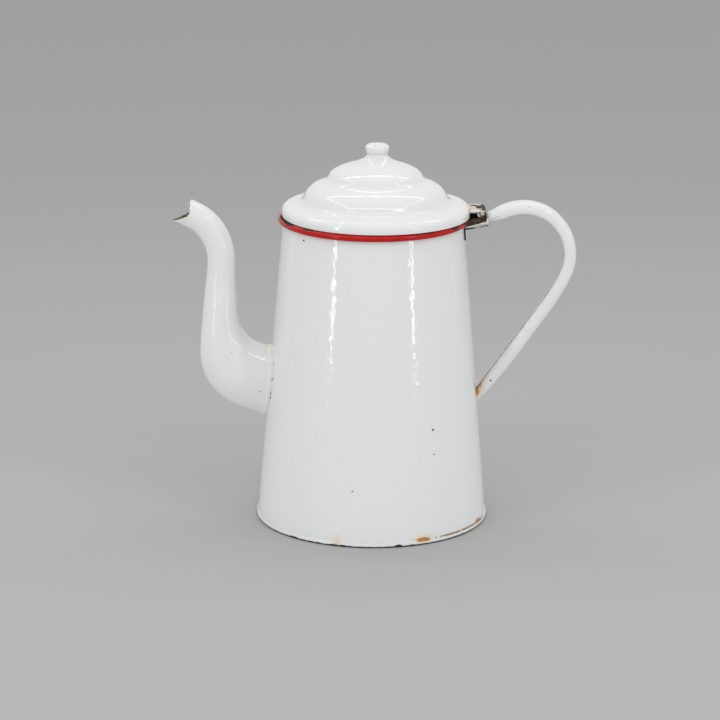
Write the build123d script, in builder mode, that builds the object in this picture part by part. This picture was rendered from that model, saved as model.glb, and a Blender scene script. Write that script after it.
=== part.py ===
"""Enamelled sheet steel coffee pot with a gooseneck spout and a hinged, stepped lid.

Millimetres. The origin is the centre of the base on the surface the pot stands on.
+Z is up, the spout points along -X, and the handle and the lid's hinge are on +X.
"""

import os
from math import asin, cos, degrees, hypot, radians, sin, tan

from build123d import *

os.makedirs("parts", exist_ok=True)

# Sheet steel with its enamel, and the play left in seams and running fits
wall = 1.2
seam_gap = 0.05
running_gap = 0.3

# Foot and side wall
foot_radius = 80.0
foot_height = 3.2
foot_hem = 0.85
foot_floor = 1.0
foot_round = 0.4
base_recess = 3.0
mouth_radius = 61.9
mouth_height = 208.0

# Red rolled edge round the mouth
bead_section = 2.2
bead_overhang = 3.35
bead_rise = 2.3
rim_wire_radius = 1.0

# Strainer holes behind the spout
hole_diameter = 3.0
hole_pitch = 5.6
strainer_height = 38.0
strainer_width = 24.0

# Spout: stations from the wall to the mouth, each with the distance of its centre from
# the pot's axis, its height, the rise of the spout there in degrees, and the spout's
# depth and width. The neck starts where the bowl ends.
spout_bowl = [
    (62.0, 94.8, 1.0, 51.0, 33.0),
    (75.5, 96.1, 3.6, 48.8, 32.8),
    (86.6, 99.9, 11.9, 47.4, 32.3),
    (95.4, 105.7, 22.1, 47.0, 31.8),
    (101.2, 112.6, 30.2, 45.4, 31.0),
    (104.7, 120.7, 38.5, 41.8, 30.0),
    (105.8, 129.8, 46.2, 36.3, 28.6),
    (105.79, 137.56, 52.8, 31.75, 27.12),
    (105.75, 139.0, 54.0, 31.0, 26.8),
]
spout_neck = [
    spout_bowl[-1],
    (105.71, 140.44, 55.2, 30.25, 26.48),
    (105.2, 151.0, 64.0, 25.8, 23.9),
    (104.6, 164.5, 79.0, 21.1, 20.6),
    (103.95, 178.5, 89.0, 19.1, 19.1),
    (104.7, 187.0, 80.0, 19.0, 19.0),
    (108.9, 198.2, 64.0, 19.0, 19.0),
    (116.1, 207.15, 45.5, 18.9, 18.9),
    (126.9, 213.5, 29.5, 18.6, 18.6),
    (136.0, 217.3, 25.5, 18.2, 18.2),
]
spout_flange_height = 50.6
spout_flange_width = 35.6
spout_flange_centre = 95.6
# Cut of the spout's mouth, seen from the side: top of the mouth, corner of the notch,
# and the drawn-out lip, as distances from the axis and heights
mouth_top = (124.7, 223.0)
mouth_corner = (125.2, 213.2)
mouth_lip = (131.3, 210.7)
mouth_tip = (139.5, 208.1)
mouth_cut_reach = 30.0

# Hinge: how far its axis lies outside and above the mouth, and its bracket below the mouth
hinge_reach = 11.6
hinge_rise = 7.4
pin_radius = 1.25
pin_head_radius = 1.9
pin_head = 0.9
pin_head_round = 0.55
knuckle_radius = 3.0
pin_clearance = 0.05
hinge_width = 20.0
pot_knuckle_width = 7.6
bracket_floor_drop = 0.6
bracket_foot_drop = 10.5
floor_rise = 3.2
cheek_clearance = 0.4

# Handle: outer line of the strap, with its highest point measured from the hinge. At the
# foot the outer line turns in towards the wall, while the inner one stays straight.
handle_depth = 8.2
handle_width = 14.0
slot_share = 0.14
strap_shoulder = 0.55
strap_edge_radius = 2.2
strap_cutter = 4 * wall
handle_top_reach = 29.3
handle_top_rise = 7.6
crest_radius = 38.0
crest_sweep = 26.2
shoulder_radius = 35.0
shoulder_sweep = 40.8
bend_radius = 37.75
bend_sweep = 73.85
easing_radius = 150.0
easing_sweep = 10.4
leg_length = 66.0
handle_end_depth = 5.0
handle_end_width = 12.0
handle_end_drop = 1.6
handle_foot_run = 16.5
handle_foot_inset = 3.1
handle_foot_width = 11.0

# Lid
lid_offset = 1.65
lid_gap = 0.5
brim_overhang = 2.5
brim_roll = 4.2
brim_lip = 2.5
brim_slope = 15.0
lower_dome_radius = 50.3
lower_dome_rise = 14.8
lower_dome_bulge = (44.6, 8.7)
upper_dome_radius = 33.4
upper_dome_rise = 11.1
upper_dome_bulge = (27.8, 6.8)
neck_base_radius = 16.5
neck_radius = 7.0
neck_flare = 5.9
cone_slope = 18.0
crease_radius = 1.6
crimp_height = 2.4
neck_flange = 0.45
collar_inset = 4.4
collar_sheet = 1.0
collar_depth = 6.5
collar_taper = 0.8
leaf_reach = 17.5

# Knob: its outline and the hollow above the neck, as radii and heights above its lower edge
knob_outline = [(7.55, 0.0), (8.1, 2.8), (7.3, 4.9), (4.2, 6.35), (0.0, 6.8)]
knob_hollow = [(7.0, 4.0), (3.7, 5.2), (0.0, 5.6)]

# Places that follow from the sizes above
shell_foot_radius = foot_radius - foot_hem - seam_gap
wall_slope = (shell_foot_radius - mouth_radius) / (mouth_height - foot_height)
bead_radius = mouth_radius + bead_overhang - bead_section
bead_z = mouth_height + bead_rise
shell_top = bead_z - bead_section / 2
half_hinge = hinge_width / 2
half_pot_knuckle = pot_knuckle_width / 2
hinge_x = mouth_radius + hinge_reach
hinge_z = mouth_height + hinge_rise
bracket_floor_z = mouth_height - bracket_floor_drop
bracket_foot_z = mouth_height - bracket_foot_drop
lid_edge_z = bead_z + bead_section + lid_gap
leaf_top = hinge_z + knuckle_radius
brim_radius = mouth_radius + brim_overhang
collar_radius = mouth_radius - collar_inset


def shell_radius(z):
    """Outside radius of the side wall at a height."""
    return mouth_radius + (mouth_height - z) * wall_slope


def wall_cone():
    """Solid bounded by the outside of the side wall and of the rolled edge."""
    with BuildPart() as cone:
        with BuildSketch(Plane.XZ):
            with BuildLine():
                Polyline(
                    (0, foot_height),
                    (shell_foot_radius, foot_height),
                    (mouth_radius, mouth_height),
                    (shell_radius(shell_top), shell_top),
                    (0, shell_top),
                    close=True,
                )
            make_face()
        revolve(axis=Axis.Z)
        with BuildSketch(Plane.XZ):
            with Locations((bead_radius, bead_z)):
                Circle(bead_section)
        revolve(axis=Axis.Z)
    return cone.part


pot_outside = wall_cone()


# Side wall
with BuildPart() as body_shell:
    with BuildSketch(Plane.XZ):
        with BuildLine():
            Polyline(
                (shell_foot_radius - wall, foot_floor + seam_gap),
                (shell_foot_radius, foot_floor + seam_gap),
                (shell_foot_radius, foot_height),
                (shell_radius(shell_top), shell_top),
                (shell_radius(shell_top) - wall, shell_top),
                (shell_foot_radius - wall, foot_height),
                close=True,
            )
        make_face()
    revolve(axis=Axis.Z)
    with BuildSketch(Plane.XZ):
        with Locations((bead_radius, bead_z)):
            Circle(bead_section)
    revolve(axis=Axis.Z, mode=Mode.SUBTRACT)
    # Strainer: rows of holes inside an ellipse that the spout covers
    row_step = hole_pitch * sin(radians(60))
    rows = int(strainer_height / 2 / row_step)
    columns = int(strainer_width / 2 / hole_pitch) + 1
    strainer_holes = []
    for row in range(-rows, rows + 1):
        for column in range(-columns, columns + 1):
            across = (column + (row % 2) / 2) * hole_pitch
            up = row * row_step
            if hypot(across / (strainer_width / 2), up / (strainer_height / 2)) <= 1:
                strainer_holes.append((across, up))
    strainer_plane = Plane(
        origin=(-foot_radius, 0, spout_flange_centre), x_dir=(0, 1, 0), z_dir=(1, 0, 0)
    )
    with BuildSketch(strainer_plane):
        with Locations(*strainer_holes):
            Circle(hole_diameter / 2)
    extrude(amount=foot_radius - mouth_radius / 2, mode=Mode.SUBTRACT)
body_shell.part.label = "body_shell"
export_step(body_shell.part, "parts/body_shell.step")

# Bottom: a recessed disc whose skirt and hem grip the lower edge of the wall
with BuildPart() as base_pan:
    skirt_height = base_recess + wall
    skirt_outside = min(shell_foot_radius, shell_radius(skirt_height)) - wall - seam_gap
    with BuildSketch(Plane.XZ) as pan_section:
        with BuildLine():
            Polyline(
                (0, base_recess),
                (skirt_outside - wall, base_recess),
                (skirt_outside - wall, 0),
                (foot_radius, 0),
                (foot_radius, foot_height),
                (foot_radius - foot_hem, foot_height),
                (foot_radius - foot_hem, foot_floor),
                (skirt_outside, foot_floor),
                (skirt_outside, skirt_height),
                (0, skirt_height),
                close=True,
            )
        make_face()
        outer_corners = pan_section.vertices().filter_by(
            lambda v: v.X > foot_radius - foot_hem / 2
        )
        fillet(outer_corners, radius=foot_round)
    revolve(axis=Axis.Z)
base_pan.part.label = "base_pan"
export_step(base_pan.part, "parts/base_pan.step")

# Rolled edge and the wire inside it
with BuildPart() as rim_bead:
    with BuildSketch(Plane.XZ):
        with Locations((bead_radius, bead_z)):
            Circle(bead_section)
            Circle(rim_wire_radius + seam_gap, mode=Mode.SUBTRACT)
    revolve(axis=Axis.Z)
rim_bead.part.label = "rim_bead"
export_step(rim_bead.part, "parts/rim_bead.step")

with BuildPart() as rim_wire:
    with BuildSketch(Plane.XZ):
        with Locations((bead_radius, bead_z)):
            Circle(rim_wire_radius)
    revolve(axis=Axis.Z)
rim_wire.part.label = "rim_wire"
export_step(rim_wire.part, "parts/rim_wire.step")


def spout_core(sheet):
    """Loft the spout's bowl and then its neck, drawn in by a thickness of sheet."""
    with BuildPart() as core:
        for stations in (spout_bowl, spout_neck):
            for distance, height, rise, depth, width in stations:
                station = Plane(
                    origin=(-distance, 0, height),
                    x_dir=(sin(radians(rise)), 0, cos(radians(rise))),
                    z_dir=(-cos(radians(rise)), 0, sin(radians(rise))),
                )
                with BuildSketch(station):
                    Ellipse(depth / 2 - sheet, width / 2 - sheet)
            loft()
    return core.part


spout_outside = spout_core(0)
spout_bore = spout_core(wall)

# Spout: two pressed halves, welded along the centre plane, with a flange on the wall
with BuildPart() as spout:
    flange_low = spout_flange_centre - spout_flange_height / 2
    flange_high = spout_flange_centre + spout_flange_height / 2
    with BuildSketch(Plane.XZ):
        with BuildLine():
            Polyline(
                (-shell_radius(flange_low) + wall, flange_low - wall),
                (-shell_radius(flange_low) - wall, flange_low - wall),
                (-shell_radius(flange_high) - wall, flange_high + wall),
                (-shell_radius(flange_high) + wall, flange_high + wall),
                close=True,
            )
        make_face()
    revolve(axis=Axis.Z)
    flange_plane = Plane(
        origin=(0, 0, spout_flange_centre), x_dir=(0, 1, 0), z_dir=(-1, 0, 0)
    )
    with BuildSketch(flange_plane):
        Ellipse(spout_flange_width / 2, spout_flange_height / 2)
    extrude(amount=2 * foot_radius, mode=Mode.INTERSECT)
    add(spout_outside)
    add(pot_outside, mode=Mode.SUBTRACT)
    add(spout_bore, mode=Mode.SUBTRACT)
    with BuildSketch(Plane.XZ):
        with BuildLine():
            Polyline(
                (-mouth_top[0], mouth_top[1]),
                (-mouth_corner[0], mouth_corner[1]),
                (-mouth_lip[0], mouth_lip[1]),
                (-mouth_tip[0], mouth_tip[1]),
                (-mouth_tip[0] - mouth_cut_reach, mouth_tip[1]),
                (-mouth_tip[0] - mouth_cut_reach, mouth_top[1] + mouth_cut_reach),
                (-mouth_top[0], mouth_top[1] + mouth_cut_reach),
                close=True,
            )
        make_face()
    extrude(amount=spout_flange_width, both=True, mode=Mode.SUBTRACT)

with BuildPart() as spout_left_half:
    add(spout.part)
    split(bisect_by=Plane.XZ, keep=Keep.TOP)
spout_left_half.part.label = "spout_left_half"
export_step(spout_left_half.part, "parts/spout_left_half.step")

with BuildPart() as spout_right_half:
    add(spout.part)
    split(bisect_by=Plane.XZ, keep=Keep.BOTTOM)
spout_right_half.part.label = "spout_right_half"
export_step(spout_right_half.part, "parts/spout_right_half.step")

# Bracket under the rim: a plate on the wall, a floor, a back, two cheeks and one knuckle
back_inside = hinge_x + knuckle_radius + cheek_clearance
back_outside = back_inside + wall
cheek_top = hinge_z - knuckle_radius - cheek_clearance
plate_sweep = 2 * degrees(asin(half_hinge / mouth_radius))
bracket_start = mouth_radius - wall
with BuildPart() as hinge_bracket:
    # Plate that follows the wall
    with BuildSketch(Plane.XZ.rotated((0, 0, -plate_sweep / 2))):
        with BuildLine():
            Polyline(
                (shell_radius(bracket_foot_z) - wall, bracket_foot_z),
                (shell_radius(bracket_foot_z) + wall, bracket_foot_z),
                (shell_radius(mouth_height) + wall, mouth_height),
                (shell_radius(mouth_height) - wall, mouth_height),
                close=True,
            )
        make_face()
    revolve(axis=Axis.Z, revolution_arc=plate_sweep)
    # Floor and back, bent from one strip
    with BuildSketch(Plane.XZ):
        with BuildLine():
            Polyline(
                (bracket_start, bracket_floor_z - floor_rise),
                (back_outside, bracket_floor_z),
                (back_outside, cheek_top),
                (back_inside, cheek_top),
                (back_inside, bracket_floor_z + wall),
                (bracket_start, bracket_floor_z + wall - floor_rise),
                close=True,
            )
        make_face()
    extrude(amount=half_hinge, both=True)
    # Cheeks
    with BuildSketch(Plane.XZ.offset(-half_hinge)):
        with BuildLine():
            Polyline(
                (bracket_start, bracket_floor_z - floor_rise),
                (back_outside, bracket_floor_z),
                (back_outside, cheek_top),
                (mouth_radius + bead_overhang, cheek_top),
                (bracket_start, cheek_top - wall),
                close=True,
            )
        make_face()
    extrude(amount=wall)
    mirror(about=Plane.XZ)
    # Knuckle and the web that carries it
    with BuildSketch(Plane.XZ):
        with Locations((hinge_x, hinge_z)):
            Circle(knuckle_radius)
        with BuildLine():
            Polyline(
                (hinge_x, hinge_z),
                (hinge_x + knuckle_radius, hinge_z),
                (back_outside, cheek_top),
                (back_outside, bracket_floor_z + wall),
                (back_inside, bracket_floor_z + wall),
                (back_inside, cheek_top - wall),
                close=True,
            )
        make_face()
    extrude(amount=half_pot_knuckle, both=True)
    add(pot_outside, mode=Mode.SUBTRACT)
    with BuildSketch(Plane.XZ):
        with Locations((hinge_x, hinge_z)):
            Circle(pin_radius + seam_gap / 2)
    extrude(amount=half_hinge, both=True, mode=Mode.SUBTRACT)
hinge_bracket.part.label = "hinge_bracket"
export_step(hinge_bracket.part, "parts/hinge_bracket.step")

# Pin with both ends peened over
head_start = half_hinge + running_gap
with BuildPart() as hinge_pin:
    pin_plane = Plane(origin=(hinge_x, 0, hinge_z), x_dir=(1, 0, 0), z_dir=(0, -1, 0))
    with BuildSketch(pin_plane):
        Circle(pin_radius)
    extrude(amount=head_start, both=True)
    with BuildSketch(pin_plane.offset(head_start)):
        Circle(pin_head_radius)
    extrude(amount=pin_head)
    fillet(faces().sort_by(Axis.Y)[0].edges(), radius=pin_head_round)
    mirror(about=Plane.XZ)
hinge_pin.part.label = "hinge_pin"
export_step(hinge_pin.part, "parts/hinge_pin.step")


def strap_outline(depth, width):
    """Outside of the strap, crown up, with well rounded shoulders."""
    with BuildSketch() as section:
        outline = Rectangle(width, depth, align=(Align.CENTER, Align.MAX))
        fillet(outline.vertices().group_by(Axis.Y)[-1], radius=depth * strap_shoulder)
        fillet(section.vertices().group_by(Axis.Y)[0], radius=strap_edge_radius)
    return section.sketch


def strap_hollow(depth, width):
    """Inside of the strap, a sheet's thickness in from its outline."""
    with BuildSketch() as section:
        with Locations((0, -wall)):
            hollow = Rectangle(width - 2 * wall, depth - 2 * wall, align=(Align.CENTER, Align.MAX))
        fillet(hollow.vertices().group_by(Axis.Y)[-1], radius=depth * strap_shoulder - wall)
        fillet(section.vertices().group_by(Axis.Y)[0], radius=strap_edge_radius - wall)
    return section.sketch


def strap_slot(depth, width):
    """Gap between the two edges that are folded in on the side of the fingers."""
    with BuildSketch() as section:
        with Locations((0, -depth - wall)):
            Rectangle(width * slot_share, strap_cutter, align=(Align.CENTER, Align.MIN))
    return section.sketch


def strap_plane(x, z, heading):
    """Plane across the strap at a point of its outer line, heading in degrees."""
    return Plane(
        origin=(x, 0, z),
        x_dir=(0, 1, 0),
        z_dir=(cos(radians(heading)), 0, sin(radians(heading))),
    )


# Handle: the strap follows its outer line, tapered at both ends
crest_x = hinge_x + handle_top_reach - crest_radius * sin(radians(crest_sweep))
crest_z = hinge_z + handle_top_rise - crest_radius * (1 - cos(radians(crest_sweep)))
leg_heading = -(shoulder_sweep + bend_sweep + easing_sweep)
with BuildLine(Plane.XZ) as strap_line:
    rise = JernArc(
        start=(crest_x, crest_z),
        tangent=(cos(radians(crest_sweep)), sin(radians(crest_sweep))),
        radius=crest_radius,
        arc_size=-crest_sweep,
    )
    shoulder = JernArc(rise @ 1, rise % 1, shoulder_radius, -shoulder_sweep)
    bend = JernArc(shoulder @ 1, shoulder % 1, bend_radius, -bend_sweep)
    easing = JernArc(bend @ 1, bend % 1, easing_radius, -easing_sweep)
    leg = Line(easing @ 1, easing @ 1 + (easing % 1) * leg_length)
leg_x, leg_z = cos(radians(leg_heading)), sin(radians(leg_heading))
foot_x = (leg @ 1).X + handle_foot_run * leg_x + handle_foot_inset * leg_z
foot_z = (leg @ 1).Z + handle_foot_run * leg_z - handle_foot_inset * leg_x
foot_plane = strap_plane(foot_x, foot_z, leg_heading)
leg_plane = strap_plane((leg @ 1).X, (leg @ 1).Z, leg_heading)
crest_plane = strap_plane(crest_x, crest_z, crest_sweep)
end_plane = strap_plane(back_outside - wall, hinge_z - handle_end_drop, 0)
strap_layers = (
    (strap_outline, Mode.ADD),
    (strap_hollow, Mode.SUBTRACT),
    (strap_slot, Mode.SUBTRACT),
)
strap_sections = []
for draw, layer_mode in strap_layers:
    full = draw(handle_depth, handle_width)
    end = draw(handle_end_depth, handle_end_width)
    foot = draw(handle_depth - handle_foot_inset, handle_foot_width)
    strap_sections.append((full, end, foot, layer_mode))
with BuildPart() as handle_strap:
    for full, end, foot, layer_mode in strap_sections:
        with BuildSketch(crest_plane):
            add(full)
        sweep(path=strap_line.line, mode=layer_mode)
        # Taper to the hinge bracket
        with BuildSketch(end_plane):
            add(end)
        with BuildSketch(crest_plane):
            add(full)
        loft(mode=layer_mode)
        # Taper to the foot on the wall
        with BuildSketch(leg_plane):
            add(full)
        with BuildSketch(foot_plane):
            add(foot)
        loft(mode=layer_mode)
    add(pot_outside, mode=Mode.SUBTRACT)
    # Flat seat against the back of the bracket
    with BuildSketch(Plane.XZ):
        with Locations((back_outside, hinge_z)):
            Rectangle(strap_cutter, 2 * hinge_width, align=(Align.MAX, Align.CENTER))
    extrude(amount=handle_width, both=True, mode=Mode.SUBTRACT)
handle_strap.part.label = "handle_strap"
export_step(handle_strap.part, "parts/handle_strap.step")

# Lid: everything is drawn about its own axis, which the worn hinge holds off centre
lid_plane = Plane(origin=(lid_offset, 0, 0), x_dir=(1, 0, 0), z_dir=(0, -1, 0))
lid_axis = Axis((lid_offset, 0, 0), (0, 0, 1))
roll_radius = brim_radius - brim_roll
roll_z = lid_edge_z + brim_lip
roll_angle = radians(90 - brim_slope)
roll_end_radius = roll_radius + brim_roll * cos(roll_angle)
roll_end_z = roll_z + brim_roll * sin(roll_angle)


def brim_z(radius):
    """Height of the top of the brim at a radius from the lid's axis."""
    return roll_end_z + (roll_end_radius - radius) * tan(radians(brim_slope))


lower_dome_z = brim_z(lower_dome_radius)
upper_dome_z = lower_dome_z + lower_dome_rise
neck_base_z = upper_dome_z + upper_dome_rise
flare_foot_radius = neck_radius + neck_flare * (1 - sin(radians(cone_slope)))
flare_foot_z = neck_base_z + (neck_base_radius - flare_foot_radius) * tan(radians(cone_slope))
neck_top = flare_foot_z + neck_flare * cos(radians(cone_slope))
knob_seat = neck_top + crimp_height
section_margin = 3 * wall
with BuildPart() as lid_shell:
    with BuildSketch(lid_plane) as lid_section:
        with BuildLine():
            Polyline(
                (-neck_radius, lid_edge_z - section_margin),
                (brim_radius, lid_edge_z - section_margin),
                (brim_radius, roll_z),
            )
            CenterArc((roll_radius, roll_z), brim_roll, 0, 90 - brim_slope)
            Line((roll_end_radius, roll_end_z), (lower_dome_radius, lower_dome_z))
            ThreePointArc(
                (lower_dome_radius, lower_dome_z),
                (lower_dome_bulge[0], lower_dome_z + lower_dome_bulge[1]),
                (upper_dome_radius, upper_dome_z),
            )
            ThreePointArc(
                (upper_dome_radius, upper_dome_z),
                (upper_dome_bulge[0], upper_dome_z + upper_dome_bulge[1]),
                (neck_base_radius, neck_base_z),
            )
            Line((neck_base_radius, neck_base_z), (flare_foot_radius, flare_foot_z))
            CenterArc((neck_radius + neck_flare, neck_top), neck_flare, 180, 90 - cone_slope)
            Polyline(
                (neck_radius, neck_top),
                (neck_radius, knob_seat + section_margin),
                (-neck_radius, knob_seat + section_margin),
                (-neck_radius, lid_edge_z - section_margin),
            )
        make_face()
        offset(amount=-wall, mode=Mode.SUBTRACT)
        # Where the lower dome meets the brim and the upper dome
        creases = lid_section.vertices().filter_by(
            lambda v: abs(v.Y - lower_dome_z) < seam_gap or abs(v.Y - upper_dome_z) < seam_gap
        )
        fillet(creases, radius=crease_radius)
        with Locations((0, lid_edge_z)):
            Rectangle(brim_radius, knob_seat - lid_edge_z, align=Align.MIN, mode=Mode.INTERSECT)
        # Small flange at the top of the neck, held by the knob
        with Locations((neck_radius - wall, knob_seat - wall)):
            Rectangle(wall + neck_flange, wall, align=Align.MIN)
    revolve(axis=lid_axis)
    # Notch in the turned-down lip where the hinge leaf comes out
    with BuildSketch(Plane.XY.offset(lid_edge_z - wall)):
        with Locations((lid_offset + roll_end_radius, 0)):
            Rectangle(
                2 * brim_roll,
                hinge_width + 2 * running_gap,
                align=(Align.MIN, Align.CENTER),
            )
    extrude(amount=leaf_top + seam_gap - lid_edge_z + wall, mode=Mode.SUBTRACT)
lid_shell.part.label = "lid_shell"
export_step(lid_shell.part, "parts/lid_shell.step")

# Locating ring under the brim, notched for the leaf
with BuildPart() as lid_collar:
    brim_sheet = wall / cos(radians(brim_slope))
    collar_bottom = lid_edge_z - collar_depth
    with BuildSketch(lid_plane):
        with BuildLine():
            Polyline(
                (collar_radius - collar_taper, collar_bottom),
                (collar_radius, lid_edge_z),
                (collar_radius, brim_z(collar_radius) - brim_sheet),
                (collar_radius - collar_sheet, brim_z(collar_radius - collar_sheet) - brim_sheet),
                (collar_radius - collar_sheet, lid_edge_z),
                (collar_radius - collar_sheet - collar_taper, collar_bottom),
                close=True,
            )
        make_face()
    revolve(axis=lid_axis)
    with BuildSketch(Plane.XY.offset(leaf_top - wall - running_gap)):
        with Locations((lid_offset + collar_radius, 0)):
            Rectangle(brim_roll * 2, hinge_width + 2 * running_gap)
    extrude(amount=section_margin, mode=Mode.SUBTRACT)
lid_collar.part.label = "lid_collar"
export_step(lid_collar.part, "parts/lid_collar.step")

# Hollow knob, its lower edge crimped round the neck
with BuildPart() as lid_knob:
    knob_points = [(radius, neck_top + height) for radius, height in knob_outline]
    hollow_points = [(radius, neck_top + height) for radius, height in knob_hollow]
    with BuildSketch(lid_plane):
        with BuildLine():
            Spline(*knob_points, tangents=[(0.4, 0.9), (-1, 0)])
            Polyline(knob_points[-1], (0, neck_top), knob_points[0])
        make_face()
        # Room for the neck and its flange, and the hollow above them
        with BuildLine():
            Polyline(
                (0, neck_top),
                (neck_radius + seam_gap, neck_top),
                (neck_radius + seam_gap, knob_seat - wall - seam_gap),
                (neck_radius + neck_flange + seam_gap, knob_seat - wall - seam_gap),
                (neck_radius + neck_flange + seam_gap, knob_seat + seam_gap),
                *hollow_points,
                close=True,
            )
        make_face(mode=Mode.SUBTRACT)
    revolve(axis=lid_axis)
lid_knob.part.label = "lid_knob"
export_step(lid_knob.part, "parts/lid_knob.step")

# Leaf welded under the brim, with a knuckle each side of the bracket's
with BuildPart() as lid_hinge_leaf:
    bend_x = lid_offset + roll_end_radius
    leaf_start = hinge_x - leaf_reach
    leaf_rise = (bend_x - leaf_start) * tan(radians(brim_slope))
    with BuildSketch(Plane.XZ):
        with BuildLine():
            Polyline(
                (hinge_x, leaf_top),
                (bend_x, leaf_top),
                (leaf_start, leaf_top + leaf_rise),
                (leaf_start, leaf_top + leaf_rise - wall),
                (bend_x, leaf_top - wall),
                (hinge_x, leaf_top - wall),
                close=True,
            )
        make_face()
        with Locations((hinge_x, hinge_z)):
            Circle(knuckle_radius)
            Circle(pin_radius + pin_clearance, mode=Mode.SUBTRACT)
    extrude(amount=half_hinge, both=True)
    # Gap for the bracket's knuckle
    with BuildSketch(Plane.XY.offset(hinge_z - 2 * knuckle_radius)):
        with Locations((hinge_x - knuckle_radius - 2 * running_gap, 0)):
            Rectangle(
                4 * knuckle_radius,
                pot_knuckle_width + 2 * running_gap,
                align=(Align.MIN, Align.CENTER),
            )
    extrude(amount=4 * knuckle_radius, mode=Mode.SUBTRACT)
    add(lid_shell.part, mode=Mode.SUBTRACT)
lid_hinge_leaf.part.label = "lid_hinge_leaf"
export_step(lid_hinge_leaf.part, "parts/lid_hinge_leaf.step")
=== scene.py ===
# %% [markdown]
# An old enamelled coffee pot: a tapered wall of sheet steel, a gooseneck spout, a strap
# handle and a stepped lid on a rusted hinge. The measured model of the pot is loaded first
# and stays fixed. Each visible piece is then made again with smooth, thin sheet and rides
# on the same body, so the lid still turns on its pin.

# %% Load the measured pot
import math

import bmesh
import bpy
import numpy as np
from mathutils import Matrix, Vector


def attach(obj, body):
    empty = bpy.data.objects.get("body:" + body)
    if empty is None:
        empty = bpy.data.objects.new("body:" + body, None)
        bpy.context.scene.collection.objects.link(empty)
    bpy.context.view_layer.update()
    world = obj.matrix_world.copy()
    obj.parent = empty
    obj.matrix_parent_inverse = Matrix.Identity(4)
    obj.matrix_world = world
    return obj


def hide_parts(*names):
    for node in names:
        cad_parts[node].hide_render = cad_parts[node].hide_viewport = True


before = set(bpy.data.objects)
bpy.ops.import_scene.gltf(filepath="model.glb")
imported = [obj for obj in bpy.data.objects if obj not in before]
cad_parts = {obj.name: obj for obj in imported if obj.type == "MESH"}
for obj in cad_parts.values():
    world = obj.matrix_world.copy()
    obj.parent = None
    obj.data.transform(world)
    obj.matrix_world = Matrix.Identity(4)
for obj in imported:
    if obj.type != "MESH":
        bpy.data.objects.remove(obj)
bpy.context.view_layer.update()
MM = 0.001

# %% [markdown]
# The camera stands two metres in front of the pot and looks down on it by about fifteen
# degrees, through a long lens. Its axes are worked out from the three angles, because a
# camera turned by hand would never bring the rims to the right ovals.

# %% Camera
pitch, roll, yaw = 0.268050, -0.005817, -0.004285
camera_place = (0, -2.01508, 0.66328)
focal_pixels, picture_width, film_width = 3024.54, 720, 36

looking = Vector((math.sin(yaw) * math.cos(pitch), math.cos(yaw) * math.cos(pitch), -math.sin(pitch)))
level_right = Vector((math.cos(yaw), -math.sin(yaw), 0))
level_down = looking.cross(level_right)
right = math.cos(roll) * level_right + math.sin(roll) * level_down
down = math.cos(roll) * level_down - math.sin(roll) * level_right

camera = bpy.data.objects.new("camera", bpy.data.cameras.new("camera"))
bpy.context.scene.collection.objects.link(camera)
turn = Matrix((right, -down, -looking)).transposed().to_4x4()
camera.matrix_world = Matrix.Translation(camera_place) @ turn
camera.data.sensor_width = film_width
camera.data.lens = focal_pixels / picture_width * film_width
bpy.context.scene.camera = camera
print("lens", round(camera.data.lens, 1), "mm")

# %% [markdown]
# White enamel has hardly any colour of its own, so the studio does the drawing. Two tall
# narrow lamps stand left and right of the camera and leave the long bright streaks on the
# wall and the spout. Bars overhead leave the curved lines on the lid. A bright, even world
# gives most of the light, so no side of the pot goes dark. The floor gives back more light
# than it shows, as a white table does that runs on beyond the picture.

# %% Floor
def look_for(name, colour, roughness):
    """A plain material with one colour and one roughness."""
    look = bpy.data.materials.new(name)
    look.use_nodes = True
    shader = look.node_tree.nodes["Principled BSDF"]
    shader.inputs["Base Color"].default_value = (*colour, 1)
    shader.inputs["Roughness"].default_value = roughness
    return look


floor_seen = (0.42, 0.42, 0.415, 1)
floor_lit = (0.72, 0.72, 0.70, 1)
floor_look = look_for("pale floor", (0.5, 0.5, 0.5), 0.9)
nodes, links = floor_look.node_tree.nodes, floor_look.node_tree.links
path = nodes.new("ShaderNodeLightPath")
seen = path.outputs["Is Camera Ray"]
for ray in ("Is Glossy Ray", "Is Transmission Ray"):
    larger = nodes.new("ShaderNodeMath")
    larger.operation = "MAXIMUM"
    links.new(seen, larger.inputs[0])
    links.new(path.outputs[ray], larger.inputs[1])
    seen = larger.outputs[0]
pick = nodes.new("ShaderNodeMix")
pick.data_type = "RGBA"
pick.inputs["A"].default_value = floor_lit
pick.inputs["B"].default_value = floor_seen
links.new(seen, pick.inputs["Factor"])
links.new(pick.outputs["Result"], nodes["Principled BSDF"].inputs["Base Color"])

floor_mesh = bmesh.new()
bmesh.ops.create_grid(floor_mesh, x_segments=1, y_segments=1, size=12)
floor = bpy.data.objects.new("floor", bpy.data.meshes.new("floor"))
floor_mesh.to_mesh(floor.data)
bpy.context.scene.collection.objects.link(floor)
floor.data.materials.append(floor_look)

# %% Lamps and world
pot_middle = Vector((0, 0, 0.15))
strip_width = 0.026
half_span, front_y, back_y, frame_top, post_foot = 0.76, -0.72, 0.36, 1.0, 0.02
post_glow, front_glow, back_glow, side_glow = 55, 46, 42, 24


def bar(name, start, end, glow):
    """A straight strip lamp between two points, facing the pot, glow watts to a square metre."""
    middle, length = (start + end) / 2, (end - start).length
    light = bpy.data.lights.new(name, "AREA")
    light.shape = "RECTANGLE"
    light.size, light.size_y = strip_width, length
    light.energy = glow * strip_width * length
    run = (end - start).normalized()
    back = (middle - pot_middle).normalized()
    back = (back - back.dot(run) * run).normalized()
    holder = bpy.data.objects.new(name, light)
    bpy.context.scene.collection.objects.link(holder)
    holder.location = middle
    holder.rotation_euler = Matrix((run.cross(back), run, back)).transposed().to_euler()


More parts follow.
